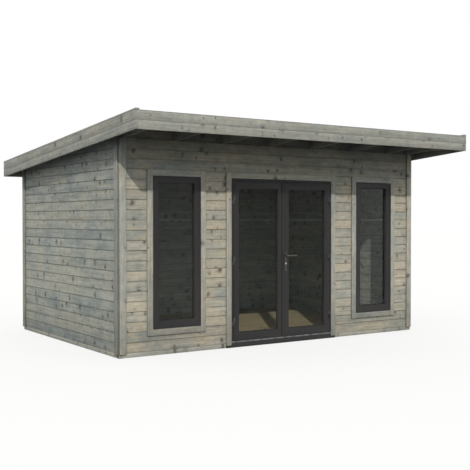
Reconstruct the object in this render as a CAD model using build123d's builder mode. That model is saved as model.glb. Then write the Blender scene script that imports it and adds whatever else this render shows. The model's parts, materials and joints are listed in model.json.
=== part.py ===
"""Garden shed: a mono-pitch timber building with a glazed double door and two tall fixed windows.

Millimetres. X runs along the front, left to right, -Y is the front, +Z is up. The origin is on the
ground at the middle of the walls' footprint.
"""

import os
from math import cos, radians, sin, tan

from build123d import *

# Walls of solid boards, over their outer faces
wall_width = 4450
wall_depth = 3020
wall_board = 44
front_wall_height = 2430
corner_post = 45

# Base and floor
sill_height = 50
sill_width = 70
joist_width = 45
joist_spacing = 600
floor_board = 19
floor_gap = 3

# Roof
roof_pitch = 4.27
front_overhang = 810
rear_overhang = 240
side_overhang = 202
rafter_width = 45
rafter_height = 120
rafter_spacing = 660
roof_board = 19
felt = 4
felt_drip = 15
fascia_thickness = 25
fascia_board = 95
board_gap = 1
edge_batten_width = 45
edge_batten_height = 21
nogging = 22
lookout_spacing = 1560
first_lookout = 1120

# Trim boards
trim_thickness = 20
trim_width = 70
corner_board = 83
corner_gap = 1
corner_foot = 42
trim_overlap = 15
door_trim_foot = 30

# Front openings, by what shows between the trim boards
front_shift = 14
opening_top = 2024
door_width = 1541
window_pitch = 1511
window_width = 629
window_sill = 295
fitting_gap = 2

# Windows
window_depth = 60
window_face = 25
sash_face = 53
sash_step = 6
window_bottom_rail = 65
window_top_rail = 49
glass_thickness = 4
glass_bite = 10
glass_setback = 40
glass_play = 0.5
bead_slope = 7

# Door frame and threshold
door_frame_depth = 60
jamb_face = 20
head_face = 25
stop_overlap = 10
leaf_gap = 5
threshold_top = 60
threshold_nose = 18
strip_height = 16
strip_nose = 20

# Door leaves
leaf_thickness = 40
leaf_glass_setback = 27
stile = 80
top_rail = 90
bottom_rail = 93
glass_spacing = 163
meeting_shift = 28
meeting_gap = 6

# Hinges
hinge_proud = 10
knuckle_radius = 7
knuckle_height = 45
knuckle_gap = 1
hinge_plate = 4
hinge_plate_width = 28
hinge_inset = 230

# Lock and lever
lever_height = 1085
cylinder_drop = 99
plate_width = 40
plate_height = 240
plate_drop = 75
plate_thickness = 8
plate_corner = 6
spindle_radius = 4
spindle_bore = 9
neck_radius = 9
neck_clearance = 0.5
lever_reach = 150
lever_stand_off = 42
lever_bend = 16
lever_tip_round = 4
cylinder_radius = 12
cylinder_proud = 6

# Faces that several pieces share
left_x = -wall_width / 2
right_x = wall_width / 2
front_y = -wall_depth / 2
back_y = wall_depth / 2
joinery_front = front_y - trim_thickness
floor_top = sill_height + floor_board
fall = tan(radians(roof_pitch))
felt_bottom = rafter_height + roof_board
fascia_height = 2 * fascia_board + board_gap
tall = front_wall_height + rafter_height

# Door and window centres and edges
door_x = front_shift
window_centres = {"left": door_x - window_pitch, "right": door_x + window_pitch}
window_height = opening_top - window_sill
window_middle = (opening_top + window_sill) / 2
door_left = door_x - door_width / 2
door_right = door_x + door_width / 2
door_unit = door_width + 2 * trim_overlap
window_unit_width = window_width + 2 * trim_overlap
window_unit_height = window_height + 2 * trim_overlap
unit_top = opening_top + trim_overlap
strip_top = threshold_top + strip_height

# Roof overhang faces
roof_front = front_y - front_overhang
roof_rear = back_y + rear_overhang
roof_left = left_x - side_overhang
roof_right = right_x + side_overhang
roof_half_width = roof_right - fascia_thickness


def underside(y):
    """Height of the rafters' underside at y."""
    return front_wall_height - (y - front_y) * fall


def roof_plane(offset):
    """Plane parallel to the roof, a plumb offset above the rafters' underside."""
    pitch = radians(roof_pitch)
    seat = (0, front_y, front_wall_height + offset)
    return Plane(origin=seat, x_dir=(1, 0, 0), z_dir=(0, sin(pitch), cos(pitch)))


def finish(builder, name):
    """Label a finished piece and write it."""
    builder.part.label = name
    export_step(builder.part, f"parts/{name}.step")


def block(low, high):
    """Add a squared timber from its lowest corner to its highest."""
    middle = tuple((a + b) / 2 for a, b in zip(low, high))
    with Locations(middle):
        Box(*[b - a for a, b in zip(low, high)])


def roof_timber(x_low, x_high, y_low, y_high, low, high):
    """Add a timber that follows the pitch, with plumb ends, between two plumb offsets."""
    with BuildSketch(Plane.YZ.offset(x_low)) as section:
        with BuildLine():
            Polyline(
                (y_low, underside(y_low) + low),
                (y_high, underside(y_high) + low),
                (y_high, underside(y_high) + high),
                (y_low, underside(y_low) + high),
                close=True,
            )
        make_face()
    extrude(section.sketch, amount=x_high - x_low)


def spread(low, high, pitch):
    """Positions from low to high, evenly spaced by at most the pitch."""
    bays = int((high - low) / pitch) + 1
    return [low + (high - low) * i / bays for i in range(bays + 1)]


os.makedirs("parts", exist_ok=True)

# Base: sill beams on the ground, joists between them and the floor, notched at the doorway
with BuildPart() as front_sill:
    block((left_x, front_y, 0), (right_x, front_y + sill_width, sill_height))
finish(front_sill, "front_sill")

with BuildPart() as back_sill:
    block((left_x, back_y - sill_width, 0), (right_x, back_y, sill_height))
finish(back_sill, "back_sill")

joist_front = front_y + sill_width
joist_back = back_y - sill_width

with BuildPart() as side_sills:
    block((left_x, joist_front, 0), (left_x + sill_width, joist_back, sill_height))
    block((right_x - sill_width, joist_front, 0), (right_x, joist_back, sill_height))
finish(side_sills, "side_sills")

joists_each_side = int((right_x - sill_width - joist_width) / joist_spacing)

with BuildPart() as floor_joists:
    for i in range(-joists_each_side, joists_each_side + 1):
        centre = i * joist_spacing
        block(
            (centre - joist_width / 2, joist_front, 0),
            (centre + joist_width / 2, joist_back, sill_height),
        )
finish(floor_joists, "floor_joists")

floor_margin = wall_board + floor_gap
notch_width = door_unit + 2 * floor_gap
notch_depth = 2 * (door_frame_depth - trim_thickness + floor_gap)

with BuildPart() as floor_boards:
    block(
        (left_x + floor_margin, front_y + floor_margin, sill_height),
        (right_x - floor_margin, back_y - floor_margin, floor_top),
    )
    with Locations((door_x, front_y, floor_top)):
        Box(notch_width, notch_depth, 3 * floor_board, mode=Mode.SUBTRACT)
finish(floor_boards, "floor_boards")


# Walls: solid boards, side walls from front to back and the others between them
inner_left = left_x + wall_board
inner_right = right_x - wall_board
inner_front = front_y + wall_board
inner_back = back_y - wall_board
door_hole_left = door_x - door_unit / 2 - fitting_gap
door_hole_right = door_x + door_unit / 2 + fitting_gap
unit_hole_top = unit_top + fitting_gap
front_pieces = {"left": (inner_left, door_hole_left), "right": (door_hole_right, inner_right)}

for side, (low, high) in front_pieces.items():
    with BuildPart() as front_wall:
        block((low, front_y, sill_height), (high, inner_front, tall))
        with Locations((window_centres[side], front_y, window_middle)):
            Box(
                window_unit_width + 2 * fitting_gap,
                3 * wall_board,
                window_unit_height + 2 * fitting_gap,
                mode=Mode.SUBTRACT,
            )
        split(bisect_by=roof_plane(0), keep=Keep.BOTTOM)
    finish(front_wall, f"front_wall_{side}")

with BuildPart() as front_wall_over_door:
    block((door_hole_left, front_y, unit_hole_top), (door_hole_right, inner_front, tall))
    split(bisect_by=roof_plane(0), keep=Keep.BOTTOM)
finish(front_wall_over_door, "front_wall_over_door")

with BuildPart() as back_wall:
    block((inner_left, inner_back, sill_height), (inner_right, back_y, tall))
    split(bisect_by=roof_plane(0), keep=Keep.BOTTOM)
finish(back_wall, "back_wall")

for side, low in {"left": left_x, "right": inner_right}.items():
    with BuildPart() as side_wall:
        block((low, front_y, sill_height), (low + wall_board, back_y, tall))
        split(bisect_by=roof_plane(rafter_height), keep=Keep.BOTTOM)
    finish(side_wall, f"{side}_wall")

# Corner posts: in the four inner corners, from the floor to the end rafters
with BuildPart() as corner_posts:
    for x in (inner_left, inner_right - corner_post):
        for y in (inner_front, inner_back - corner_post):
            block((x, y, floor_top), (x + corner_post, y + corner_post, tall))
    split(bisect_by=roof_plane(0), keep=Keep.BOTTOM)
finish(corner_posts, "corner_posts")


# Corner boards: one on each face of a corner, with a narrow gap between the two
def corner_pair(x_corner, y_corner, x_in, y_in):
    """Add a corner's two boards; x_in and y_in point from the corner along the walls."""
    x_edges = (x_corner + x_in * corner_gap, x_corner + x_in * (corner_gap + corner_board))
    y_edges = (y_corner + y_in * corner_gap, y_corner + y_in * (corner_gap + corner_board))
    x_faces = (x_corner, x_corner - x_in * trim_thickness)
    y_faces = (y_corner, y_corner - y_in * trim_thickness)
    block((min(x_edges), min(y_faces), corner_foot), (max(x_edges), max(y_faces), tall))
    block((min(x_faces), min(y_edges), corner_foot), (max(x_faces), max(y_edges), tall))


for end, (y_corner, y_in) in {"front": (front_y, 1), "back": (back_y, -1)}.items():
    with BuildPart() as corner_boards:
        corner_pair(left_x, y_corner, 1, y_in)
        corner_pair(right_x, y_corner, -1, y_in)
        split(bisect_by=roof_plane(0), keep=Keep.BOTTOM)
    finish(corner_boards, f"{end}_corner_boards")


# Trim boards round the windows and the door: uprights the full height, cross boards between
def trim_boards(x_low, x_high, z_foot, z_low, z_high):
    """Add trim round what shows from x_low to x_high; z_low is None where no board runs below."""
    y_low = front_y - trim_thickness
    for x in (x_low - trim_width, x_high):
        block((x, y_low, z_foot), (x + trim_width, front_y, z_high + trim_width))
    crossings = [z_high] if z_low is None else [z_low - trim_width, z_high]
    for z in crossings:
        block((x_low + board_gap, y_low, z), (x_high - board_gap, front_y, z + trim_width))


for side, centre in window_centres.items():
    with BuildPart() as window_trim:
        trim_boards(
            centre - window_width / 2,
            centre + window_width / 2,
            window_sill - trim_width,
            window_sill,
            opening_top,
        )
    finish(window_trim, f"{side}_window_trim")

with BuildPart() as door_trim:
    trim_boards(door_left, door_right, door_trim_foot, None, opening_top)
finish(door_trim, "door_trim")


# Windows: a fixed frame flush with its trim, a set-back sash face and one pane in a groove
def glass_size(width, height):
    """Size of a pane that fills an opening between its beads and reaches into their groove."""
    reach = 2 * (glass_bite - bead_slope)
    return width + reach, height + reach


def glazed_opening(centre, middle, width, height, face, glass, back):
    """Cut an opening through a frame: beads that slope in to the pane from both faces and its groove."""
    pane_width, pane_height = glass_size(width, height)
    with Locations((centre, glass + glass_thickness / 2, middle)):
        Box(
            pane_width + 2 * glass_play,
            glass_thickness,
            pane_height + 2 * glass_play,
            mode=Mode.SUBTRACT,
        )
    for surface, pane_face in ((face, glass), (back, glass + glass_thickness)):
        with BuildSketch(Plane.XZ.offset(-surface)) as wide:
            with Locations((centre, middle)):
                Rectangle(width, height)
        with BuildSketch(Plane.XZ.offset(-pane_face)) as narrow:
            with Locations((centre, middle)):
                Rectangle(width - 2 * bead_slope, height - 2 * bead_slope)
        loft([wide.sketch, narrow.sketch], mode=Mode.SUBTRACT)


def pane(centre, middle, y_low, width, height):
    """Add the pane that fills an opening and sits in its groove."""
    pane_width, pane_height = glass_size(width, height)
    with Locations((centre, y_low + glass_thickness / 2, middle)):
        Box(pane_width, glass_thickness, pane_height)


daylight_width = window_width - 2 * (window_face + sash_face)
daylight_bottom = window_sill + window_face + window_bottom_rail
daylight_top = opening_top - window_face - window_top_rail
daylight_height = daylight_top - daylight_bottom
daylight_middle = (daylight_top + daylight_bottom) / 2
glass_front = joinery_front + glass_setback
window_back = joinery_front + window_depth

for side, centre in window_centres.items():
    with BuildPart() as window_frame:
        with Locations((centre, (front_y + window_back) / 2, window_middle)):
            Box(window_unit_width, window_back - front_y, window_unit_height)
        with Locations((centre, (joinery_front + front_y) / 2, window_middle)):
            Box(window_width - 2 * board_gap, trim_thickness, window_height - 2 * board_gap)
        with Locations((centre, joinery_front, window_middle)):
            Box(
                window_width - 2 * window_face,
                2 * sash_step,
                window_height - 2 * window_face,
                mode=Mode.SUBTRACT,
            )
        glazed_opening(
            centre,
            daylight_middle,
            daylight_width,
            daylight_height,
            joinery_front + sash_step,
            glass_front,
            window_back,
        )
    finish(window_frame, f"{side}_window_frame")

    with BuildPart() as window_glass:
        pane(centre, daylight_middle, glass_front, daylight_width, daylight_height)
    finish(window_glass, f"{side}_window_glass")


# Door frame: jambs and head in one, flush with the trim, with a deeper stop behind the leaves
leaf_left = door_left + jamb_face + leaf_gap
leaf_right = door_right - jamb_face - leaf_gap
leaf_bottom = strip_top + leaf_gap
leaf_top = opening_top - head_face - leaf_gap
leaf_back = joinery_front + leaf_thickness
leaf_glass = joinery_front + leaf_glass_setback
stop_front = leaf_back + leaf_gap
frame_back = joinery_front + door_frame_depth


def doorway_arch(y_low, y_high, reach, side, top):
    """Add one layer of the door frame, open at the bottom.

    reach is how far it goes behind the trim; side and top are its faces inside the opening.
    """
    with BuildSketch(Plane.XZ.offset(-y_low)) as arch:
        with BuildLine():
            Polyline(
                (door_left - reach, strip_top),
                (door_left + side, strip_top),
                (door_left + side, opening_top - top),
                (door_right - side, opening_top - top),
                (door_right - side, strip_top),
                (door_right + reach, strip_top),
                (door_right + reach, opening_top + reach),
                (door_left - reach, opening_top + reach),
                close=True,
            )
        make_face()
    extrude(arch.sketch, amount=y_low - y_high)


stop_face = leaf_gap + stop_overlap

with BuildPart() as door_frame:
    doorway_arch(joinery_front, front_y, -board_gap, jamb_face, head_face)
    doorway_arch(front_y, stop_front, trim_overlap, jamb_face, head_face)
    doorway_arch(stop_front, frame_back, trim_overlap, jamb_face + stop_face, head_face + stop_face)
finish(door_frame, "door_frame")

# Threshold: a dark block in front of the sill, shouldered under the door trim, and a metal strip
threshold_front = front_y - threshold_nose
shoulder = door_trim_foot - fitting_gap

with BuildPart() as door_threshold:
    block((door_left - trim_width, threshold_front, 0), (door_right + trim_width, front_y, shoulder))
    block(
        (door_left + board_gap, threshold_front, 0),
        (door_right - board_gap, front_y, threshold_top),
    )
    block(
        (door_left - trim_overlap, front_y, sill_height),
        (door_right + trim_overlap, frame_back, threshold_top),
    )
finish(door_threshold, "door_threshold")

with BuildPart() as threshold_strip:
    block(
        (door_left + board_gap, front_y - strip_nose, threshold_top),
        (door_right - board_gap, front_y, strip_top),
    )
    block(
        (door_left - trim_overlap, front_y, threshold_top),
        (door_right + trim_overlap, frame_back, strip_top),
    )
finish(threshold_strip, "threshold_strip")


# Door leaves: stiles and rails round one pane each; the right leaf carries the lock
meeting_x = door_x - meeting_shift
glass_left_edge = door_x - glass_spacing / 2
glass_right_edge = door_x + glass_spacing / 2
pane_bottom = leaf_bottom + bottom_rail
pane_top = leaf_top - top_rail
pane_middle = (pane_bottom + pane_top) / 2
lock_x = (meeting_x + meeting_gap / 2 + glass_right_edge) / 2

leaves = {
    "left": (leaf_left, meeting_x - meeting_gap / 2, leaf_left + stile, glass_left_edge),
    "right": (meeting_x + meeting_gap / 2, leaf_right, glass_right_edge, leaf_right - stile),
}

for side, (low, high, pane_low, pane_high) in leaves.items():
    pane_centre = (pane_low + pane_high) / 2
    with BuildPart() as door_leaf:
        block((low, joinery_front, leaf_bottom), (high, leaf_back, leaf_top))
        glazed_opening(
            pane_centre,
            pane_middle,
            pane_high - pane_low,
            pane_top - pane_bottom,
            joinery_front,
            leaf_glass,
            leaf_back,
        )
        if side == "right":
            with BuildSketch(Plane.XZ.offset(-joinery_front)):
                with Locations((lock_x, lever_height)):
                    Circle(spindle_bore)
            extrude(amount=-leaf_thickness, mode=Mode.SUBTRACT)
    finish(door_leaf, f"{side}_door_leaf")

    with BuildPart() as door_glass:
        pane(pane_centre, pane_middle, leaf_glass, pane_high - pane_low, pane_top - pane_bottom)
    finish(door_glass, f"{side}_door_glass")


# Hinges: lift-off pairs at each leaf's outer edge, the leaf's knuckle above the frame's
hinge_y = joinery_front - hinge_proud
hinge_heights = (leaf_bottom + hinge_inset, (leaf_bottom + leaf_top) / 2, leaf_top - hinge_inset)
hinge_axes = {"left": (leaf_left - leaf_gap / 2, 1), "right": (leaf_right + leaf_gap / 2, -1)}


def hinge_half(axis_x, toward, z_low, plate_reach):
    """Add a knuckle on the hinge axis and its plate, which reaches along the door's face."""
    with Locations((axis_x, hinge_y, z_low)):
        Cylinder(knuckle_radius, knuckle_height, align=(Align.CENTER, Align.CENTER, Align.MIN))
    edges_x = sorted((axis_x, axis_x + toward * plate_reach))
    block(
        (edges_x[0], joinery_front - hinge_plate, z_low),
        (edges_x[1], joinery_front, z_low + knuckle_height),
    )


for side, (axis_x, inward) in hinge_axes.items():
    with BuildPart() as door_hinges:
        for height in hinge_heights:
            hinge_half(axis_x, inward, height + knuckle_gap / 2, hinge_plate_width)
    finish(door_hinges, f"{side}_door_hinges")

jamb_plate_width = jamb_face + leaf_gap / 2 - fitting_gap

with BuildPart() as frame_hinges:
    for axis_x, inward in hinge_axes.values():
        for height in hinge_heights:
            hinge_half(axis_x, -inward, height - knuckle_gap / 2 - knuckle_height, jamb_plate_width)
finish(frame_hinges, "frame_hinges")


# Lock: a long plate on each face, a cylinder and a pair of levers on one spindle
plate_faces = {-1: joinery_front, 1: leaf_back}
plate_middle = lever_height - plate_drop
cylinder_height = lever_height - cylinder_drop

with BuildPart() as lock_plates:
    for outward, face in plate_faces.items():
        with BuildSketch(Plane.XZ.offset(-face)):
            with Locations((lock_x, plate_middle)):
                RectangleRounded(plate_width, plate_height, plate_corner)
            with Locations((lock_x, lever_height)):
                Circle(neck_radius + neck_clearance, mode=Mode.SUBTRACT)
        extrude(amount=-outward * plate_thickness)
finish(lock_plates, "lock_plates")

with BuildPart() as lock_cylinder:
    for outward, face in plate_faces.items():
        with BuildSketch(Plane.XZ.offset(-face - outward * plate_thickness)):
            with Locations((lock_x, cylinder_height)):
                Circle(cylinder_radius)
        extrude(amount=-outward * cylinder_proud)
finish(lock_cylinder, "lock_cylinder")

with BuildPart() as lever_handles:
    for outward, face in plate_faces.items():
        neck_y = face + outward * neck_clearance
        bar_y = face + outward * (plate_thickness + lever_stand_off)
        with BuildLine(Plane.XY.offset(lever_height)) as lever_run:
            FilletPolyline(
                (lock_x, neck_y),
                (lock_x, bar_y),
                (lock_x + lever_reach, bar_y),
                radius=lever_bend,
            )
        with BuildSketch(Plane(origin=lever_run.line @ 0, z_dir=lever_run.line % 0)):
            Circle(neck_radius)
        sweep()
    with BuildSketch(Plane.XZ.offset(-joinery_front)):
        with Locations((lock_x, lever_height)):
            Circle(spindle_radius)
    extrude(amount=-leaf_thickness - neck_clearance)
    with BuildSketch(Plane.XZ.offset(-joinery_front)):
        with Locations((lock_x, lever_height)):
            Circle(spindle_radius)
    extrude(amount=neck_clearance)
    tips = edges().filter_by(GeomType.CIRCLE).group_by(Axis.X)[-1]
    fillet(tips, radius=lever_tip_round)
finish(lever_handles, "lever_handles")


# Rafters: one against the top of each side wall and the rest between, from fascia to fascia
rafter_front = roof_front + fascia_thickness
rafter_back = roof_rear - fascia_thickness
first_rafter = inner_left + rafter_width / 2
last_rafter = inner_right - rafter_width / 2
spaced_rafters = int((last_rafter - rafter_width - first_rafter) / rafter_spacing) + 1
rafter_centres = [first_rafter + i * rafter_spacing for i in range(spaced_rafters)] + [last_rafter]

with BuildPart() as rafters:
    for x in rafter_centres:
        roof_timber(x - rafter_width / 2, x + rafter_width / 2, rafter_front, rafter_back, 0, rafter_height)
finish(rafters, "rafters")

# Noggings: boards that close the eaves between rafters, and lookouts out to the side fascias
with BuildPart() as eaves_noggings:
    for first, second in zip(rafter_centres, rafter_centres[1:]):
        for y in (inner_front - nogging, inner_back):
            roof_timber(first + rafter_width / 2, second - rafter_width / 2, y, y + nogging, 0, rafter_height)
finish(eaves_noggings, "eaves_noggings")

with BuildPart() as roof_lookouts:
    for step in (-1, 0, 1):
        y = front_y + first_lookout + step * lookout_spacing
        inner = wall_width / 2 if y > front_y else inner_right
        for x_low, x_high in ((-roof_half_width, -inner), (inner, roof_half_width)):
            roof_timber(x_low, x_high, y - rafter_width / 2, y + rafter_width / 2, 0, rafter_height)
finish(roof_lookouts, "roof_lookouts")

with BuildPart() as roof_boards:
    roof_timber(-roof_half_width, roof_half_width, rafter_front, rafter_back, rafter_height, felt_bottom)
finish(roof_boards, "roof_boards")

felt_edge = roof_right - edge_batten_width

with BuildPart() as roof_felt:
    roof_timber(-felt_edge, felt_edge, roof_front, roof_rear + felt_drip, felt_bottom, felt_bottom + felt)
finish(roof_felt, "roof_felt")

with BuildPart() as edge_battens:
    for x_low in (roof_left, felt_edge):
        roof_timber(
            x_low,
            x_low + edge_batten_width,
            roof_front,
            roof_rear,
            felt_bottom,
            felt_bottom + edge_batten_height,
        )
finish(edge_battens, "edge_battens")

# Fascias: two boards one above the other on each edge of the roof
fascia_bottom = felt_bottom - fascia_height
fascia_rows = (fascia_bottom, fascia_bottom + fascia_board + board_gap)

for end, (outer, y_low) in {"front": (roof_front, roof_front), "rear": (roof_rear, rafter_back)}.items():
    with BuildPart() as end_fascia:
        for row in fascia_rows:
            z = underside(outer) + row
            block((-roof_half_width, y_low, z), (roof_half_width, y_low + fascia_thickness, z + fascia_board))
        split(bisect_by=roof_plane(felt_bottom), keep=Keep.BOTTOM)
    finish(end_fascia, f"{end}_fascia")

for side, x_low in {"left": roof_left, "right": roof_half_width}.items():
    with BuildPart() as side_fascia:
        for row in fascia_rows:
            roof_timber(x_low, x_low + fascia_thickness, roof_front, roof_rear, row, row + fascia_board)
    finish(side_fascia, f"{side}_fascia")
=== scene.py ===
"""Looks of the garden shed: boarded walls, grey softwood trim, dark joinery and glass.

Metres. X runs along the front from left to right, -Y is the front and +Z is up.
"""

import json
import math
import random

import bmesh
import bpy
from mathutils import Matrix, Vector


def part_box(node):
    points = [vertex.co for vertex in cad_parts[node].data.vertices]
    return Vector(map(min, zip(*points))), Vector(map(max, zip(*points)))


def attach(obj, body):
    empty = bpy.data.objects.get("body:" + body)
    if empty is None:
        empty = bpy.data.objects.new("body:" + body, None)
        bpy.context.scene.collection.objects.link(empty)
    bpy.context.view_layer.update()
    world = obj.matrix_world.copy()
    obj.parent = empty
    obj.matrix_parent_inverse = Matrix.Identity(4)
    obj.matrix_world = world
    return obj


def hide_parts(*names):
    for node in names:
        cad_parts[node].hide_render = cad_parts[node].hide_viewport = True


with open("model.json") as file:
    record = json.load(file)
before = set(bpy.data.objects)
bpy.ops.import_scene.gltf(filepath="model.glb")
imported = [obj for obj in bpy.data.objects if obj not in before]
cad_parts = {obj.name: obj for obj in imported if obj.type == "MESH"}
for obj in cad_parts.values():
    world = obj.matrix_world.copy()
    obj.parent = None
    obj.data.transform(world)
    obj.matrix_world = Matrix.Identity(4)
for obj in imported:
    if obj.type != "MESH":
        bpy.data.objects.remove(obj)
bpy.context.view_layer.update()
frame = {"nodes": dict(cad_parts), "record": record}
chance = random.Random(29)

X, Y, Z = 0, 1, 2

# Boards: covers, joints and the slit between neighbours
roof_pitch = math.radians(4.27)
wall_foot = 0.05
wall_cover = 0.1135
floor_cover = 0.096
roof_cover = 0.121
board_slit = 0.0006
board_overrun = 0.03
joint_depth = 0.007
joint_step = 0.0023
board_round = 0.0015
rows_in_a_wall = 30
skin = 0.0002

# Eased edges
timber_round = 0.002
joinery_round = 0.0012
seal_round = 0.0006
lock_round = 0.0006
strip_round = 0.0008
lap_round = 0.0004
sharp_angle = math.radians(25)
smooth_angle = math.radians(35)

# Painted shade: darker narrow edge faces of the timber, and darker boards at the sides and under the
# windows
painted_edge_shade = 0.72
side_line = 2.225
painted_side_shade = 0.78
low_line = 0.3
painted_low_shade = 0.8

# Keyway, grooves, laps and screws
keyway_half_width = 0.0009
keyway_half_height = 0.0042
keyway_depth = 0.004
groove_depth = 0.0009
groove_width = 0.002
groove_setback = 0.006
lap_width = 0.075
lap_height = 0.0028
lap_end = 0.06
felt_cover = 0.92
screw_radius = 0.0036
screw_height = 0.0016
screw_bite = 0.0006
screw_inset = 0.016

# Softwood pattern, in metres
knots_per_metre = 5.0
ring_width = 0.0072
ring_drift = 0.055
ring_bend = 0.022

# Camera and light
camera_place = (-6.25, -9.865, 1.529)
camera_turn = (math.radians(88.957), 0, math.radians(-33.615))
camera_lens = 64.26
sun_direction = Vector((0.48, 0.81, -0.60))
sun_colour = (1.0, 0.94, 0.86)
sun_strength = 1.95
sun_spread = math.radians(1.0)
fill_colour = (0.96, 0.99, 0.97, 1)
fill_strength = 1.05
floor_size = 160
floor_bounce = (0.06, 0.06, 0.06, 1)
floor_pale = (0.2, 0.2, 0.2, 1)
floor_glow = 0.73


# Camera
def add_camera():
    """Set up the view of the front and the left side."""
    lens = bpy.data.cameras.new("camera")
    lens.sensor_width = 36
    lens.lens = camera_lens
    camera = bpy.data.objects.new("camera", lens)
    camera.location = camera_place
    camera.rotation_euler = camera_turn
    bpy.context.scene.collection.objects.link(camera)
    bpy.context.scene.camera = camera


add_camera()


# Selecting and shaping
def select_only(*objects):
    """Select these objects alone, the last one active."""
    bpy.ops.object.select_all(action="DESELECT")
    for item in objects:
        item.select_set(True)
    bpy.context.view_layer.objects.active = objects[-1]


def edit(piece):
    """Go into edit mode with nothing selected."""
    select_only(piece)
    bpy.ops.object.mode_set(mode="EDIT")
    bpy.ops.mesh.select_all(action="DESELECT")


def leave():
    """Go back to object mode."""
    bpy.ops.object.mode_set(mode="OBJECT")


def pick_faces(piece, wanted):
    """Select the faces whose centre and normal pass a test, and no others."""
    bpy.ops.mesh.select_mode(type="FACE")
    bpy.ops.mesh.select_all(action="DESELECT")
    mesh = bmesh.from_edit_mesh(piece.data)
    for face in mesh.faces:
        if wanted(face.calc_center_median(), face.normal):
            face.select_set(True)
    mesh.select_flush_mode()
    bmesh.update_edit_mesh(piece.data)


def settle(piece, **parts):
    """Write an object's place, turn and size into its mesh."""
    select_only(piece)
    wanted = {"location": True, "rotation": True, "scale": True}
    wanted.update(parts)
    bpy.ops.object.transform_apply(**wanted)


def apply_modifier(piece, kind, **settings):
    """Add a modifier with these settings and apply it."""
    select_only(piece)
    modifier = piece.modifiers.new(kind.lower(), kind)
    for key, value in settings.items():
        setattr(modifier, key, value)
    bpy.ops.object.modifier_apply(modifier=modifier.name)


def cuboid(name, low, high):
    """A box between two corners, to be shaped further."""
    low, high = Vector(low), Vector(high)
    bpy.ops.object.select_all(action="DESELECT")
    bpy.ops.mesh.primitive_cube_add(size=1, location=(low + high) / 2, scale=high - low)
    piece = bpy.context.object
    piece.name = name
    settle(piece)
    return piece


def remove(piece):
    """Delete a helper object."""
    bpy.data.objects.remove(piece, do_unlink=True)


def closed_copy(node, name):
    """Copy a node's mesh as closed shapes with whole faces."""
    piece = bpy.data.objects.new(name, frame["nodes"][node].data.copy())
    bpy.context.scene.collection.objects.link(piece)
    piece.data.materials.clear()
    edit(piece)
    bpy.ops.mesh.select_all(action="SELECT")
    bpy.ops.mesh.remove_doubles(threshold=0.00001)
    bpy.ops.mesh.dissolve_limited(angle_limit=math.radians(0.5))
    leave()
    if piece.data.has_custom_normals:
        bpy.ops.mesh.customdata_custom_splitnormals_clear()
    return piece


def rounded(piece, width, segments=2):
    """Round every sharp edge and shade what is left smoothly."""
    apply_modifier(
        piece,
        "BEVEL",
        width=width,
        segments=segments,
        limit_method="ANGLE",
        angle_limit=sharp_angle,
    )
    select_only(piece)
    bpy.ops.object.shade_smooth_by_angle(angle=smooth_angle)


# Timber: each board of a piece gets its own grain run and seed
def islands(mesh):
    """Groups of vertex indices that hang together."""
    shape = bmesh.new()
    shape.from_mesh(mesh)
    seen, groups = set(), []
    for start in shape.verts:
        if start.index in seen:
            continue
        seen.add(start.index)
        group, queue = [], [start]
        while queue:
            vertex = queue.pop()
            group.append(vertex.index)
            for edge in vertex.link_edges:
                other = edge.other_vert(vertex)
                if other.index not in seen:
                    seen.add(other.index)
                    queue.append(other)
        groups.append(group)
    shape.free()
    return groups


def mark_grain(piece, pitched=False, rows=None, darker=None):
    """Write each board's own coordinates, along, across and deep, its seed and its faces' painted shade.

    rows gives boards that run on past an opening: their run, their stack and its first line,
    the cover of one board and a seed for each. darker gives a board's painted shade from its middle.
    """
    mesh = piece.data
    runs = [0.0] * 3 * len(mesh.vertices)
    seeds = [0.0] * len(mesh.vertices)
    traits = [None] * len(mesh.vertices)
    level = Matrix.Rotation(roof_pitch if pitched else 0, 3, "X")
    for group in islands(mesh):
        points = [level @ mesh.vertices[i].co for i in group]
        low = Vector([min(p[a] for p in points) for a in (X, Y, Z)])
        high = Vector([max(p[a] for p in points) for a in (X, Y, Z)])
        middle = (low + high) / 2
        tone = darker(middle) if darker else 1.0
        if rows:
            run, stack, first, cover, row_seeds = rows
            row = math.floor((middle[stack] - first) / cover)
            order = (run, stack, 3 - run - stack)
            middle[run] = 0
            middle[stack] = first + (row + 0.5) * cover
            value = row_seeds[row]
        else:
            order = sorted((X, Y, Z), key=lambda a: low[a] - high[a])
            value = chance.random()
        size = high - low
        thin = size[order[1]] > 2.2 * size[order[2]]
        for i, point in zip(group, points):
            offset = point - middle
            runs[3 * i : 3 * i + 3] = [offset[a] for a in order]
            seeds[i] = value
            traits[i] = (tone, order[1] if thin else None)
    # Painted shade: faces across a thin timber's width, its narrow edges, get darker, on top of the board's
    # painted shade from darker
    painted_shades = []
    for face in mesh.polygons:
        tone, across = traits[face.vertices[0]]
        edge = across is not None and abs((level @ face.normal)[across]) > 0.7
        painted_shades.append(tone * painted_edge_shade if edge else tone)
    mesh.attributes.new("grain", "FLOAT_VECTOR", "POINT").data.foreach_set("vector", runs)
    mesh.attributes.new("seed", "FLOAT", "POINT").data.foreach_set("value", seeds)
    mesh.attributes.new("painted_shade", "FLOAT", "FACE").data.foreach_set("value", painted_shades)


# Materials
def tint(red, green, blue):
    """A colour from its screen values, 0 to 255."""
    share = [value / 255 for value in (red, green, blue)]
    linear = [s / 12.92 if s <= 0.04045 else ((s + 0.055) / 1.055) ** 2.4 for s in share]
    return (*linear, 1)


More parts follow.
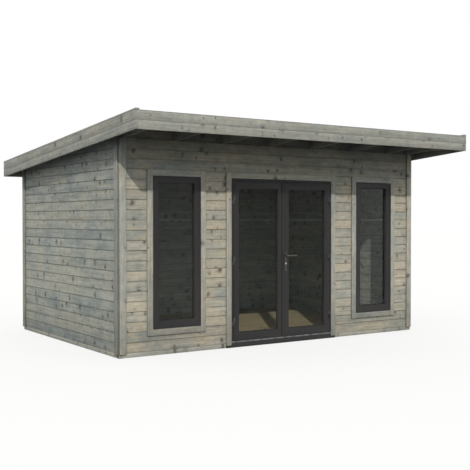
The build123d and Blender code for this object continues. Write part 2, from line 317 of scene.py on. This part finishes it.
class Recipe:
    """A material's nodes, added one by one."""

    def __init__(self, name, roughness=0.5, metallic=0.0):
        self.material = bpy.data.materials.new(name)
        self.material.use_nodes = True
        self.tree = self.material.node_tree
        self.shader = self.tree.nodes["Principled BSDF"]
        self.shader.inputs["Roughness"].default_value = roughness
        self.shader.inputs["Metallic"].default_value = metallic

    def node(self, kind, inputs=None, **settings):
        """Add a node; inputs are values or the sockets that feed it."""
        made = self.tree.nodes.new(kind)
        for key, value in settings.items():
            setattr(made, key, value)
        for key, value in (inputs or {}).items():
            self.feed(made.inputs[key], value)
        return made

    def feed(self, socket, value):
        """Set a socket, or link what feeds it."""
        if isinstance(value, bpy.types.NodeSocket):
            self.tree.links.new(value, socket)
        else:
            socket.default_value = value

    def calc(self, operation, first, second=0.5, clamp=False):
        """A sum, product or other step with two numbers."""
        inputs = {0: first, 1: second}
        return self.node("ShaderNodeMath", inputs, operation=operation, use_clamp=clamp).outputs[0]

    def vector(self, operation, first, second):
        """The same for vectors."""
        inputs = {0: first, 1: second}
        return self.node("ShaderNodeVectorMath", inputs, operation=operation).outputs[0]

    def between(self, value, low, high, start=0.0, end=1.0):
        """Smooth step from start to end as a value goes from low to high."""
        names = {"Value": value, "From Min": low, "From Max": high, "To Min": start, "To Max": end}
        return self.node("ShaderNodeMapRange", names, interpolation_type="SMOOTHSTEP").outputs[0]

    def noise(self, coordinates, scale, detail=2.0, roughness=0.5):
        """Soft noise, 0 to 1, with a scale for each axis."""
        stretched = self.vector("MULTIPLY", coordinates, scale)
        inputs = {"Vector": stretched, "Scale": 1.0, "Detail": detail, "Roughness": roughness}
        return self.node("ShaderNodeTexNoise", inputs).outputs["Fac"]

    def mix(self, share, first, second, blend="MIX"):
        """A mix of two colours."""
        made = self.node("ShaderNodeMix", data_type="RGBA", blend_type=blend)
        self.feed(made.inputs[0], share)
        self.feed(made.inputs[6], first)
        self.feed(made.inputs[7], second)
        return made.outputs[2]

    def ramp(self, value, *stops):
        """A colour from a value, by (position, colour) stops."""
        made = self.node("ShaderNodeValToRGB", {"Fac": value})
        elements = made.color_ramp.elements
        while len(elements) < len(stops):
            elements.new(0.5)
        for element, (position, colour) in zip(elements, stops):
            element.position = position
            element.color = colour
        return made.outputs[0]

    def relief(self, height, strength, distance):
        """Bump from a height."""
        inputs = {"Height": height, "Strength": strength, "Distance": distance}
        bump = self.node("ShaderNodeBump", inputs)
        self.feed(self.shader.inputs["Normal"], bump.outputs[0])

    def place(self):
        """Coordinates in the building."""
        return self.node("ShaderNodeTexCoord").outputs["Object"]


def timber(name, tones, knot_tone, knots=0.85, figure=0.14, own_tone=0.3, foot=False, painted_eaves_shade=False):
    """Knotty softwood.

    tones go from the coolest to the warmest patches of a board. knots is the share of places
    with a knot, figure the depth of the growth rings and own_tone each board's own share of its
    tone. foot darkens the wall near the ground; the eaves switch darkens the top of the wall as painted
    shade under the roof.
    """
    recipe = Recipe(name, roughness=0.8)
    grain = recipe.node("ShaderNodeAttribute", attribute_name="grain").outputs["Vector"]
    seed = recipe.node("ShaderNodeAttribute", attribute_name="seed").outputs["Fac"]
    # The faces' painted shade, written by mark_grain
    painted_shade = recipe.node("ShaderNodeAttribute", attribute_name="painted_shade").outputs["Fac"]
    place = recipe.place()
    dice = recipe.node(
        "ShaderNodeTexWhiteNoise",
        {"W": recipe.calc("MULTIPLY", seed, 917.0)},
        noise_dimensions="1D",
    ).outputs["Color"]
    throw = recipe.node("ShaderNodeSeparateColor", {0: dice}).outputs
    own = recipe.vector("ADD", grain, recipe.vector("MULTIPLY", dice, (23.0, 31.0, 17.0)))

    # Knots: at most one to a cell of the face, uneven in outline
    wander = recipe.noise(own, (38.0, 38.0, 38.0), detail=2.0, roughness=0.6)
    flat = recipe.vector("MULTIPLY", own, (1.3, 1.0, 0.0))
    flat = recipe.vector("ADD", flat, recipe.vector("MULTIPLY", wander, (0.03, 0.022, 0.0)))
    cells = recipe.node(
        "ShaderNodeTexVoronoi",
        {"Vector": flat, "Scale": knots_per_metre, "Randomness": 1.0},
        voronoi_dimensions="2D",
    )
    kind = recipe.node("ShaderNodeSeparateColor", {0: cells.outputs["Color"]}).outputs
    radius = recipe.calc("MULTIPLY", recipe.calc("POWER", kind[1], 2.0), 0.1)
    radius = recipe.calc("ADD", radius, 0.022)
    present = recipe.calc("GREATER_THAN", kind[0], 1 - knots)
    radius = recipe.calc("ADD", recipe.calc("MULTIPLY", radius, present), 0.0001)
    reach = recipe.calc("DIVIDE", cells.outputs["Distance"], radius)
    core = recipe.between(reach, 0.6, 1.35, 1.0, 0.0)
    halo = recipe.between(reach, 0.8, 3.6, 1.0, 0.0)

    # Growth rings round a heart beside the board, bent by knots
    heart = recipe.vector("SUBTRACT", dice, (0.5, 0.5, -0.4))
    heart = recipe.vector("MULTIPLY", heart, (0.0, 0.16, 0.06))
    drift = recipe.noise(own, (0.9, 3.0, 3.0), detail=1.0)
    across = recipe.node("ShaderNodeSeparateXYZ", {0: grain}).outputs[1]
    parts = recipe.node("ShaderNodeSeparateXYZ", {0: recipe.vector("ADD", grain, heart)})
    squares = recipe.calc(
        "ADD",
        recipe.calc("POWER", recipe.calc("ABSOLUTE", parts.outputs[1]), 2.0),
        recipe.calc("POWER", recipe.calc("ABSOLUTE", parts.outputs[2]), 2.0),
    )
    ring = recipe.calc("POWER", squares, 0.5)
    ring = recipe.calc("ADD", ring, recipe.calc("MULTIPLY", drift, ring_drift))
    ring = recipe.calc("ADD", ring, recipe.calc("MULTIPLY", halo, ring_bend))
    year = recipe.calc("FRACT", recipe.calc("DIVIDE", ring, ring_width))
    late = recipe.calc("POWER", year, 3.0)

    # Tone: a share for each board, patches along it and clouds over the whole wall
    patch = recipe.noise(own, (3.0, 9.0, 9.0), detail=4.0, roughness=0.65)
    cloud = recipe.noise(place, (2.4, 2.4, 2.4), detail=3.0, roughness=0.6)
    tone = recipe.calc("MULTIPLY", seed, own_tone)
    shared = 1 - own_tone
    tone = recipe.calc("ADD", tone, recipe.between(patch, 0.32, 0.68, 0.0, shared * 0.55))
    tone = recipe.calc("ADD", tone, recipe.between(cloud, 0.32, 0.68, 0.0, shared * 0.45))
    stops = [(i / (len(tones) - 1), tint(*tones[i])) for i in range(len(tones))]
    colour = recipe.ramp(tone, *stops)

    # Depth: the faces' painted shade, rings, streaks, mottles, painted shade along the boards' rounded
    # edges by the joints, fibres, flecks and the board's own throw
    streak = recipe.noise(own, (1.4, 42.0, 42.0), detail=3.0, roughness=0.6)
    mottle = recipe.noise(own, (11.0, 17.0, 17.0), detail=4.0, roughness=0.7)
    fibre = recipe.noise(own, (14.0, 520.0, 520.0), detail=1.0)
    fleck = recipe.noise(own, (11.0, 62.0, 62.0), detail=3.0, roughness=0.7)
    depth = recipe.calc("MULTIPLY", painted_shade, recipe.between(late, 0.0, 1.0, 1.04, 1.04 - figure))
    for value, low, high, start, end in (
        (streak, 0.3, 0.7, 0.86, 1.12),
        (mottle, 0.3, 0.7, 0.86, 1.12),
        (recipe.calc("ABSOLUTE", across), 0.038, 0.057, 1.02, 0.88),
        (fibre, 0.2, 0.8, 0.95, 1.05),
        (fleck, 0.56, 0.7, 1.0, 0.78),
        (throw[1], 0.0, 1.0, 0.95, 1.05),
    ):
        depth = recipe.calc("MULTIPLY", depth, recipe.between(value, low, high, start, end))
    if foot:
        high = recipe.node("ShaderNodeSeparateXYZ", {0: place}).outputs[2]
        splash = recipe.calc("ADD", high, recipe.calc("MULTIPLY", cloud, 0.25))
        depth = recipe.calc("MULTIPLY", depth, recipe.between(splash, 0.15, 0.75, 0.76, 1.0))
        # Painted shade under the roof: the top of the wall darkens from 2.0 m to 2.2 m
        if painted_eaves_shade:
            depth = recipe.calc("MULTIPLY", depth, recipe.between(high, 2.0, 2.2, 1.0, 0.82))
    grey = recipe.node("ShaderNodeCombineColor", {0: depth, 1: depth, 2: depth}).outputs[0]
    colour = recipe.mix(1.0, colour, grey, "MULTIPLY")
    halo_tone = tint(*[0.4 * a + 0.6 * b for a, b in zip(tones[0], knot_tone)])
    smear = recipe.between(recipe.noise(own, (9.0, 34.0, 34.0), detail=2.0), 0.35, 0.65, 0.2, 0.85)
    colour = recipe.mix(recipe.calc("MULTIPLY", halo, smear), colour, halo_tone)
    heart_tone = tint(*[0.25 * a + 0.75 * b for a, b in zip(tones[-1], knot_tone)])
    rim = recipe.calc("MULTIPLY", reach, 0.5)
    knot_colour = recipe.ramp(rim, (0.15, heart_tone), (0.4, tint(*knot_tone)))
    colour = recipe.mix(recipe.calc("MULTIPLY", core, 0.82), colour, knot_colour)
    recipe.feed(recipe.shader.inputs["Base Color"], colour)
    recipe.feed(recipe.shader.inputs["Roughness"], recipe.between(streak, 0.3, 0.7, 0.88, 0.74))
    height = recipe.calc("ADD", recipe.calc("MULTIPLY", late, 0.5), recipe.calc("MULTIPLY", fibre, 0.5))
    recipe.relief(height, 0.35, 0.0008)
    return recipe.material


def joinery(name):
    """Anthracite paint, satin, over planed wood."""
    recipe = Recipe(name, roughness=0.5)
    place = recipe.place()
    cloud = recipe.noise(place, (2.0, 2.0, 2.0), detail=3.0)
    fleck = recipe.noise(place, (160.0, 160.0, 18.0), detail=2.0)
    colour = recipe.ramp(cloud, (0.3, tint(35, 34, 35)), (0.7, tint(42, 41, 41)))
    colour = recipe.mix(recipe.between(fleck, 0.55, 0.8, 0.0, 0.22), colour, tint(58, 56, 56))
    recipe.shader.inputs["Specular IOR Level"].default_value = 0.3
    recipe.feed(recipe.shader.inputs["Base Color"], colour)
    recipe.feed(recipe.shader.inputs["Roughness"], recipe.between(fleck, 0.3, 0.7, 0.46, 0.58))
    recipe.relief(fleck, 0.15, 0.0005)
    return recipe.material


def metal(name, colour, roughness, streaks=(30.0, 30.0, 400.0)):
    """Brushed or cast metal with fine lines and a little tarnish."""
    recipe = Recipe(name, roughness=roughness, metallic=1.0)
    place = recipe.place()
    line = recipe.noise(place, streaks, detail=2.0)
    cloud = recipe.noise(place, (22.0, 22.0, 22.0), detail=3.0)
    darker = tuple(value * 0.72 for value in colour)
    recipe.feed(
        recipe.shader.inputs["Base Color"],
        recipe.ramp(cloud, (0.35, tint(*darker)), (0.6, tint(*colour))),
    )
    gloss = recipe.between(line, 0.3, 0.7, roughness, roughness + 0.16)
    recipe.feed(recipe.shader.inputs["Roughness"], gloss)
    recipe.relief(line, 0.1, 0.0002)
    return recipe.material


def coated(name, colour, roughness):
    """Powder coating with a fine texture."""
    recipe = Recipe(name, roughness=roughness)
    place = recipe.place()
    pimple = recipe.noise(place, (900.0, 900.0, 900.0), detail=1.0)
    cloud = recipe.noise(place, (25.0, 25.0, 25.0), detail=3.0)
    lighter = tuple(value * 1.25 for value in colour)
    recipe.feed(
        recipe.shader.inputs["Base Color"],
        recipe.ramp(cloud, (0.35, tint(*colour)), (0.7, tint(*lighter))),
    )
    recipe.relief(pimple, 0.2, 0.0003)
    return recipe.material


def glass(name, density):
    """Clear pane: a thin mirror share, set by the density, over what shows through."""
    recipe = Recipe(name, roughness=0.02, metallic=1.0)
    recipe.shader.inputs["Base Color"].default_value = (0.92, 0.96, 0.95, 1)
    ripple = recipe.noise(recipe.place(), (1.3, 1.3, 0.9), detail=1.0)
    recipe.relief(ripple, 0.05, 0.01)
    clear = recipe.node("ShaderNodeBsdfTransparent", {"Color": (0.93, 0.95, 0.94, 1)})
    share = recipe.node("ShaderNodeFresnel", {"IOR": density})
    blend = recipe.node("ShaderNodeMixShader", {0: share.outputs[0]})
    recipe.tree.links.new(clear.outputs[0], blend.inputs[1])
    recipe.tree.links.new(recipe.shader.outputs[0], blend.inputs[2])
    output = recipe.tree.nodes["Material Output"]
    recipe.tree.links.new(blend.outputs[0], output.inputs["Surface"])
    return recipe.material


def felt(name):
    """Roofing felt with a coarse mineral face."""
    recipe = Recipe(name, roughness=0.95)
    place = recipe.place()
    grit = recipe.node("ShaderNodeTexVoronoi", {"Vector": place, "Scale": 420.0})
    chip = recipe.node("ShaderNodeSeparateColor", {0: grit.outputs["Color"]}).outputs[0]
    cloud = recipe.noise(place, (1.6, 2.4, 2.0), detail=4.0, roughness=0.6)
    colour = recipe.ramp(chip, (0.0, tint(58, 60, 62)), (0.6, tint(84, 86, 87)), (1.0, tint(122, 124, 122)))
    colour = recipe.mix(recipe.between(cloud, 0.4, 0.7, 0.0, 0.35), colour, tint(96, 94, 84))
    recipe.feed(recipe.shader.inputs["Base Color"], colour)
    recipe.relief(grit.outputs["Distance"], 0.5, 0.001)
    return recipe.material


def rubber(name):
    """Black seal."""
    recipe = Recipe(name, roughness=0.6)
    dust = recipe.noise(recipe.place(), (60.0, 60.0, 60.0), detail=3.0)
    colour = recipe.ramp(dust, (0.4, tint(24, 24, 25)), (0.75, tint(44, 43, 42)))
    recipe.feed(recipe.shader.inputs["Base Color"], colour)
    return recipe.material


front_tones = ((130, 136, 136), (149, 152, 145), (168, 164, 151), (180, 171, 152), (168, 156, 144))
# Cooler, darker copy of the front tones for the back and side walls: painted shade of the walls that the
# sun lights less
shaded_side_tones = ((118, 126, 128), (134, 141, 139), (149, 153, 147), (162, 161, 150), (154, 150, 145))
trim_tones = ((138, 144, 143), (152, 154, 149), (167, 165, 154), (177, 169, 152))
# Cooler, darker copy of the trim tones: painted shade of the fascias, used for the roof timbers too
shaded_fascia_tones = ((120, 126, 127), (133, 136, 132), (148, 147, 139), (157, 152, 141))
beam_tones = ((136, 139, 135), (148, 148, 141), (160, 157, 146))
inside_tones = ((150, 138, 114), (163, 147, 118), (172, 152, 120))
knot_brown = (50, 43, 36)
inside_knot = (84, 60, 42)

finishes = {
    "cladding_timber": timber("grey_boards", front_tones, knot_brown, knots=0.5, foot=True, painted_eaves_shade=True),
    "trim_timber": timber("grey_trim", trim_tones, knot_brown, knots=0.45, foot=True),
    "frame_timber": timber("plain_posts", inside_tones, inside_knot),
    "floor_timber": timber("floor_boards_finish", inside_tones, inside_knot),
    "roof_timber": timber("grey_rafters", shaded_fascia_tones, knot_brown, knots=0.5),
    "sill_timber": timber("ground_beams", beam_tones, knot_brown),
    "dark_joinery": joinery("anthracite_paint"),
    "pane": glass("window_glass", 1.23),
    "threshold_metal": metal("mill_aluminium", (128, 128, 128), 0.45, (400.0, 30.0, 30.0)),
    "hinge_metal": coated("hinge_coating", (52, 52, 54), 0.4),
    "lock_plate_metal": coated("plate_coating", (40, 40, 42), 0.42),
    "lever_metal": metal("satin_steel", (112, 109, 103), 0.36),
    "cylinder_metal": metal("nickel", (214, 212, 206), 0.2),
    "roof_felt": felt("mineral_felt"),
}
shaded_side_finish = timber("shaded_grey_side_boards", shaded_side_tones, knot_brown, knots=0.8, foot=True)
shaded_fascia_finish = timber("shaded_grey_fascia", shaded_fascia_tones, knot_brown, knots=0.8)
seal_finish = rubber("black_seal")
door_panes = ("left_door_glass", "right_door_glass")
own_finishes = {node: glass(node + "_finish", 1.17) for node in door_panes}


def dress(piece, slot, body, *nodes, finish=None):
    """Give a piece its finish and its body, and hide the nodes that it stands for."""
    piece.data.materials.clear()
    piece.data.materials.append(finish or finishes[slot])
    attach(piece, body)
    if nodes:
        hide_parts(*nodes)


# Boards: one board, repeated and cut to the wall, floor or roof that it fills
def one_board(name, low, high, deep, turn=0.0):
    """A board with a stepped joint along its edges on both faces."""
    low, high = Vector(low), Vector(high)
    size = high - low
    size[deep] -= 2 * joint_depth
    bpy.ops.object.select_all(action="DESELECT")
    bpy.ops.mesh.primitive_cube_add(size=1, location=(low + high) / 2, scale=size)
    piece = bpy.context.object
    piece.name = name
    settle(piece, location=False)
    for side in (-1, 1):
        edit(piece)
        pick_faces(piece, lambda centre, normal: normal[deep] * side > 0.9)
        bpy.ops.mesh.inset(thickness=joint_step)
        move = Vector((0, 0, 0))
        move[deep] = side * joint_depth
        bpy.ops.mesh.extrude_region_move(TRANSFORM_OT_translate={"value": move})
        bpy.ops.mesh.bevel(offset=board_round, affect="EDGES", segments=1)
        leave()
    piece.rotation_euler = (turn, 0, 0)
    return piece


def boarding(node, name, run, stack, cover, slot, first=None, seeds=None, turn=0.0, finish=None):
    """Fill a node with boards that run one way and stack the other.

    first is the height of a joint that every wall shares and seeds the boards' own throws.
    """
    low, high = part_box(node)
    deep = 3 - run - stack
    first_low, first_high = low.copy(), high.copy()
    first_low[run] -= board_overrun
    first_high[run] += board_overrun
    if first is None:
        first = low[stack]
    first_low[stack] = first + cover * math.floor((low[stack] - first + skin) / cover)
    count = math.ceil((high[stack] - first_low[stack]) / (cover * math.cos(turn)))
    if turn:
        count += 2
        thickness = (high[deep] - low[deep]) - (high[stack] - low[stack]) * math.tan(-turn)
        first_low[deep] = high[deep] - thickness
        first_low[stack] -= cover
        first_high[deep] += cover * math.tan(-turn) / 2
        first_low[deep] += cover * math.tan(-turn) / 2
    first_high[stack] = first_low[stack] + cover - board_slit
    first_low[deep] += skin
    first_high[deep] -= skin
    piece = one_board(name, first_low, first_high, deep, turn)
    offset = [0, 0, 0]
    offset[stack] = cover
    apply_modifier(
        piece,
        "ARRAY",
        count=count,
        use_relative_offset=False,
        use_constant_offset=True,
        constant_offset_displace=offset,
    )
    settle(piece)
    outline = closed_copy(node, "outline")
    apply_modifier(piece, "BOOLEAN", operation="INTERSECT", solver="EXACT", object=outline)
    remove(outline)
    mark_grain(piece, bool(turn), seeds and (run, stack, first, cover, seeds))
    dress(piece, slot, "building", node, finish=finish)


row_seeds = [chance.random() for _ in range(rows_in_a_wall)]
front_walls = ("front_wall_left", "front_wall_right", "front_wall_over_door")
walls = {node: (X, row_seeds, None) for node in front_walls}
# The back and side walls get the painted shade copy of the boards
for node, run in (("back_wall", X), ("left_wall", Y), ("right_wall", Y)):
    walls[node] = (run, [chance.random() for _ in range(rows_in_a_wall)], shaded_side_finish)
for node, (run, seeds, finish) in walls.items():
    boarding(
        node,
        node + "_boards",
        run,
        Z,
        wall_cover,
        "cladding_timber",
        first=wall_foot,
        seeds=seeds,
        finish=finish,
    )
boarding("floor_boards", "floor_planks", X, Y, floor_cover, "floor_timber")
boarding("roof_boards", "roof_planks", X, Y, roof_cover, "roof_timber", turn=-roof_pitch)


# Squared timbers with eased edges
def timbers(node, slot, pitched=False, darker=None, finish=None):
    """Copy a node's timbers, ease their edges and give each its grain."""
    piece = closed_copy(node, node + "_eased")
    rounded(piece, timber_round)
    mark_grain(piece, pitched, darker=darker)
    dress(piece, slot, "building", node, finish=finish)


def painted_trim_shade(middle):
    """Painted shade: darker for the trim boards on the side walls and for those below the windows."""
    if abs(middle.x) > side_line:
        return painted_side_shade
    return painted_low_shade if middle.z < low_line else 1.0


for node in ("front_sill", "back_sill", "side_sills", "floor_joists"):
    timbers(node, "sill_timber")
timbers("corner_posts", "frame_timber")
trim_nodes = (
    "front_corner_boards",
    "back_corner_boards",
    "left_window_trim",
    "right_window_trim",
    "door_trim",
)
for node in trim_nodes:
    timbers(node, "trim_timber", darker=painted_trim_shade)
for node in ("rafters", "eaves_noggings", "roof_lookouts"):
    timbers(node, "roof_timber", pitched=node == "rafters")
# The fascias and battens take the painted shade copy of the trim finish
for node in ("front_fascia", "rear_fascia", "left_fascia", "right_fascia", "edge_battens"):
    level = node.startswith(("front", "rear"))
    timbers(node, "trim_timber", pitched=not level, finish=shaded_fascia_finish)


# Painted joinery with eased edges
joinery_bodies = {
    "left_window_frame": "building",
    "right_window_frame": "building",
    "door_frame": "building",
    "door_threshold": "building",
    "left_door_leaf": "left_leaf",
    "right_door_leaf": "right_leaf",
}
for node, body in joinery_bodies.items():
    piece = closed_copy(node, node + "_painted")
    rounded(piece, joinery_round)
    dress(piece, "dark_joinery", body, node)


# Keyway in the lock, grooves in the threshold and laps on the roof
def cut(piece, low, high, **repeat):
    """Cut a slot, or a row of slots, out of a piece."""
    cutter = cuboid("cutter", low, high)
    if repeat:
        apply_modifier(cutter, "ARRAY", use_relative_offset=False, use_constant_offset=True, **repeat)
    apply_modifier(piece, "BOOLEAN", operation="DIFFERENCE", solver="EXACT", object=cutter)
    remove(cutter)


def add_lock():
    """The lock cylinder with its keyways."""
    barrel = closed_copy("lock_cylinder", "lock_barrel")
    rounded(barrel, lock_round)
    low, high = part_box("lock_cylinder")
    middle = (low + high) / 2
    slot_size = Vector((keyway_half_width, keyway_depth, keyway_half_height))
    for surface in (low.y, high.y):
        centre = Vector((middle.x, surface, middle.z))
        cut(barrel, centre - slot_size, centre + slot_size)
    dress(barrel, "cylinder_metal", "right_leaf", "lock_cylinder")


def add_tread():
    """The threshold strip with grooves along its top."""
    tread = closed_copy("threshold_strip", "threshold_tread")
    rounded(tread, strip_round)
    low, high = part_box("threshold_strip")
    past = 0.01
    start = Vector((low.x - past, low.y + groove_setback, high.z - groove_depth))
    end = Vector((high.x + past, low.y + groove_setback + groove_width, high.z + past))
    cut(tread, start, end, count=4, constant_offset_displace=(0, 3 * groove_width, 0))
    dress(tread, "threshold_metal", "building", "threshold_strip")


def add_laps():
    """Felt laps across the roof, each thick on its lower edge and thin uphill."""
    low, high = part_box("roof_felt")
    half = lap_width / 2
    lap = cuboid("felt_laps", (low.x + lap_end, -half, 0), (high.x - lap_end, half, lap_height))
    edit(lap)
    pick_faces(lap, lambda centre, normal: normal.z > 0.9)
    bpy.ops.mesh.inset(thickness=0.001)
    leave()
    edit(lap)
    bpy.ops.mesh.select_mode(type="VERT")
    shape = bmesh.from_edit_mesh(lap.data)
    for point in shape.verts:
        point.select_set(point.co.y < 0 and point.co.z > lap_height / 2)
    bmesh.update_edit_mesh(lap.data)
    bpy.ops.transform.translate(value=(0, 0, -0.8 * lap_height))
    leave()
    apply_modifier(
        lap,
        "ARRAY",
        count=4,
        use_relative_offset=False,
        use_constant_offset=True,
        constant_offset_displace=(0, felt_cover, 0),
    )
    lap.rotation_euler = (-roof_pitch, 0, 0)
    lap.location = (0, low.y + felt_cover, high.z - felt_cover * math.tan(roof_pitch))
    settle(lap)
    rounded(lap, lap_round, 1)
    dress(lap, "roof_felt", "building")


def add_screws(name, body, node, inset):
    """Screw heads near both ends of a node's two upright faces."""
    low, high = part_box(node)
    bpy.ops.object.select_all(action="DESELECT")
    bpy.ops.mesh.primitive_cylinder_add(
        vertices=20,
        radius=screw_radius,
        depth=screw_height,
        location=(0, -screw_bite, 0),
        rotation=(math.pi / 2, 0, 0),
    )
    head = bpy.context.object
    settle(head)
    edit(head)
    pick_faces(head, lambda centre, normal: normal.y < -0.9)
    bpy.ops.mesh.inset(thickness=0.0008)
    bpy.ops.transform.translate(value=(0, -0.0005, 0))
    bpy.ops.mesh.inset(thickness=0.0013)
    bpy.ops.mesh.extrude_region_move(TRANSFORM_OT_translate={"value": (0, 0.0009, 0)})
    leave()
    select_only(head)
    bpy.ops.object.shade_smooth_by_angle(angle=smooth_angle)
    heads = []
    for surface, turn in ((low.y, 0), (high.y, math.pi)):
        for height in (low.z + inset, high.z - inset):
            other = bpy.data.objects.new(name, head.data.copy())
            bpy.context.scene.collection.objects.link(other)
            other.location = ((low.x + high.x) / 2, surface, height)
            other.rotation_euler = (0, 0, turn)
            settle(other)
            heads.append(other)
    remove(head)
    select_only(*heads)
    bpy.ops.object.join()
    joined = bpy.context.object
    joined.name = name
    dress(joined, "lever_metal", body)


add_lock()
add_tread()
add_laps()
add_screws("plate_screws", "right_leaf", "lock_plates", screw_inset)


# The other nodes keep their shape and get their finish
slots = {part["node"]: part["material_slot"] for part in frame["record"]["subparts"]}
for node, part in frame["nodes"].items():
    if part.hide_render:
        continue
    for holder in part.material_slots:
        holder.material = own_finishes.get(node, finishes[slots[node]])


# Seals round the panes
def add_seal(pane_node, name, body, bite=0.01, face=0.003, proud=0.002):
    """A thin rubber ring on both faces of a pane, along the edge of its opening."""
    low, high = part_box(pane_node)
    rings = []
    for side, surface in ((-1, low.y), (1, high.y)):
        bpy.ops.object.select_all(action="DESELECT")
        bpy.ops.mesh.primitive_plane_add(
            size=1,
            location=((low.x + high.x) / 2, surface, (low.z + high.z) / 2),
            rotation=(math.pi / 2, 0, 0),
        )
        ring = bpy.context.object
        ring.scale = (high.x - low.x - 2 * bite, high.z - low.z - 2 * bite, 1)
        settle(ring)
        edit(ring)
        bpy.ops.mesh.select_all(action="SELECT")
        bpy.ops.mesh.inset(thickness=face)
        bpy.ops.mesh.delete(type="FACE")
        leave()
        faces_front = ring.data.polygons[0].normal.y < 0
        apply_modifier(ring, "SOLIDIFY", thickness=proud, offset=side if faces_front else -side)
        rings.append(ring)
    select_only(*rings)
    bpy.ops.object.join()
    ring = bpy.context.object
    ring.name = name
    edit(ring)
    bpy.ops.mesh.select_all(action="SELECT")
    bpy.ops.mesh.normals_make_consistent(inside=False)
    leave()
    rounded(ring, seal_round)
    ring.data.materials.clear()
    ring.data.materials.append(seal_finish)
    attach(ring, body)


for node, body in {
    "left_window_glass": "building",
    "right_window_glass": "building",
    "left_door_glass": "left_leaf",
    "right_door_glass": "right_leaf",
}.items():
    add_seal(node, node.replace("glass", "seal"), body)


# Stage and light
def add_floor():
    """A pale floor that looks white, keeps the shadow and throws little light back up."""
    bpy.ops.object.select_all(action="DESELECT")
    bpy.ops.mesh.primitive_plane_add(size=floor_size)
    floor = bpy.context.object
    floor.name = "stage_floor"
    recipe = Recipe("stage_white", roughness=1.0)
    recipe.shader.inputs["Specular IOR Level"].default_value = 0.0
    rays = recipe.node("ShaderNodeLightPath")
    seen = rays.outputs["Is Camera Ray"]
    for kind in ("Is Glossy Ray", "Is Transmission Ray"):
        seen = recipe.calc("ADD", seen, rays.outputs[kind], clamp=True)
    pale = recipe.mix(seen, floor_bounce, floor_pale)
    recipe.feed(recipe.shader.inputs["Base Color"], pale)
    strength = recipe.calc("MULTIPLY", seen, floor_glow)
    glow = recipe.node("ShaderNodeEmission", {"Color": (1, 1, 1, 1), "Strength": strength})
    both = recipe.node("ShaderNodeAddShader")
    recipe.tree.links.new(recipe.shader.outputs[0], both.inputs[0])
    recipe.tree.links.new(glow.outputs[0], both.inputs[1])
    recipe.tree.links.new(both.outputs[0], recipe.tree.nodes["Material Output"].inputs["Surface"])
    floor.data.materials.append(recipe.material)


def add_light():
    """A low sun from the front left and a soft cool fill from all round."""
    lamp = bpy.data.lights.new("sun", "SUN")
    lamp.energy = sun_strength
    lamp.angle = sun_spread
    lamp.color = sun_colour
    sun = bpy.data.objects.new("sun", lamp)
    sun.rotation_mode = "QUATERNION"
    sun.rotation_quaternion = sun_direction.to_track_quat("-Z", "Y")
    bpy.context.scene.collection.objects.link(sun)
    world = bpy.data.worlds.new("studio")
    bpy.context.scene.world = world
    world.use_nodes = True
    nodes, links = world.node_tree.nodes, world.node_tree.links
    fill = nodes["Background"]
    fill.inputs["Color"].default_value = fill_colour
    fill.inputs["Strength"].default_value = fill_strength
    white = nodes.new("ShaderNodeBackground")
    white.inputs["Color"].default_value = (1, 1, 1, 1)
    rays = nodes.new("ShaderNodeLightPath")
    first, second = nodes.new("ShaderNodeMath"), nodes.new("ShaderNodeMath")
    for part in (first, second):
        part.operation = "ADD"
        part.use_clamp = True
    links.new(rays.outputs["Is Camera Ray"], first.inputs[0])
    links.new(rays.outputs["Is Glossy Ray"], first.inputs[1])
    links.new(first.outputs[0], second.inputs[0])
    links.new(rays.outputs["Is Transmission Ray"], second.inputs[1])
    choice = nodes.new("ShaderNodeMixShader")
    links.new(second.outputs[0], choice.inputs[0])
    links.new(fill.outputs[0], choice.inputs[1])
    links.new(white.outputs[0], choice.inputs[2])
    links.new(choice.outputs[0], nodes["World Output"].inputs["Surface"])


add_floor()
add_light()
bpy.context.scene.view_settings.view_transform = "Standard"
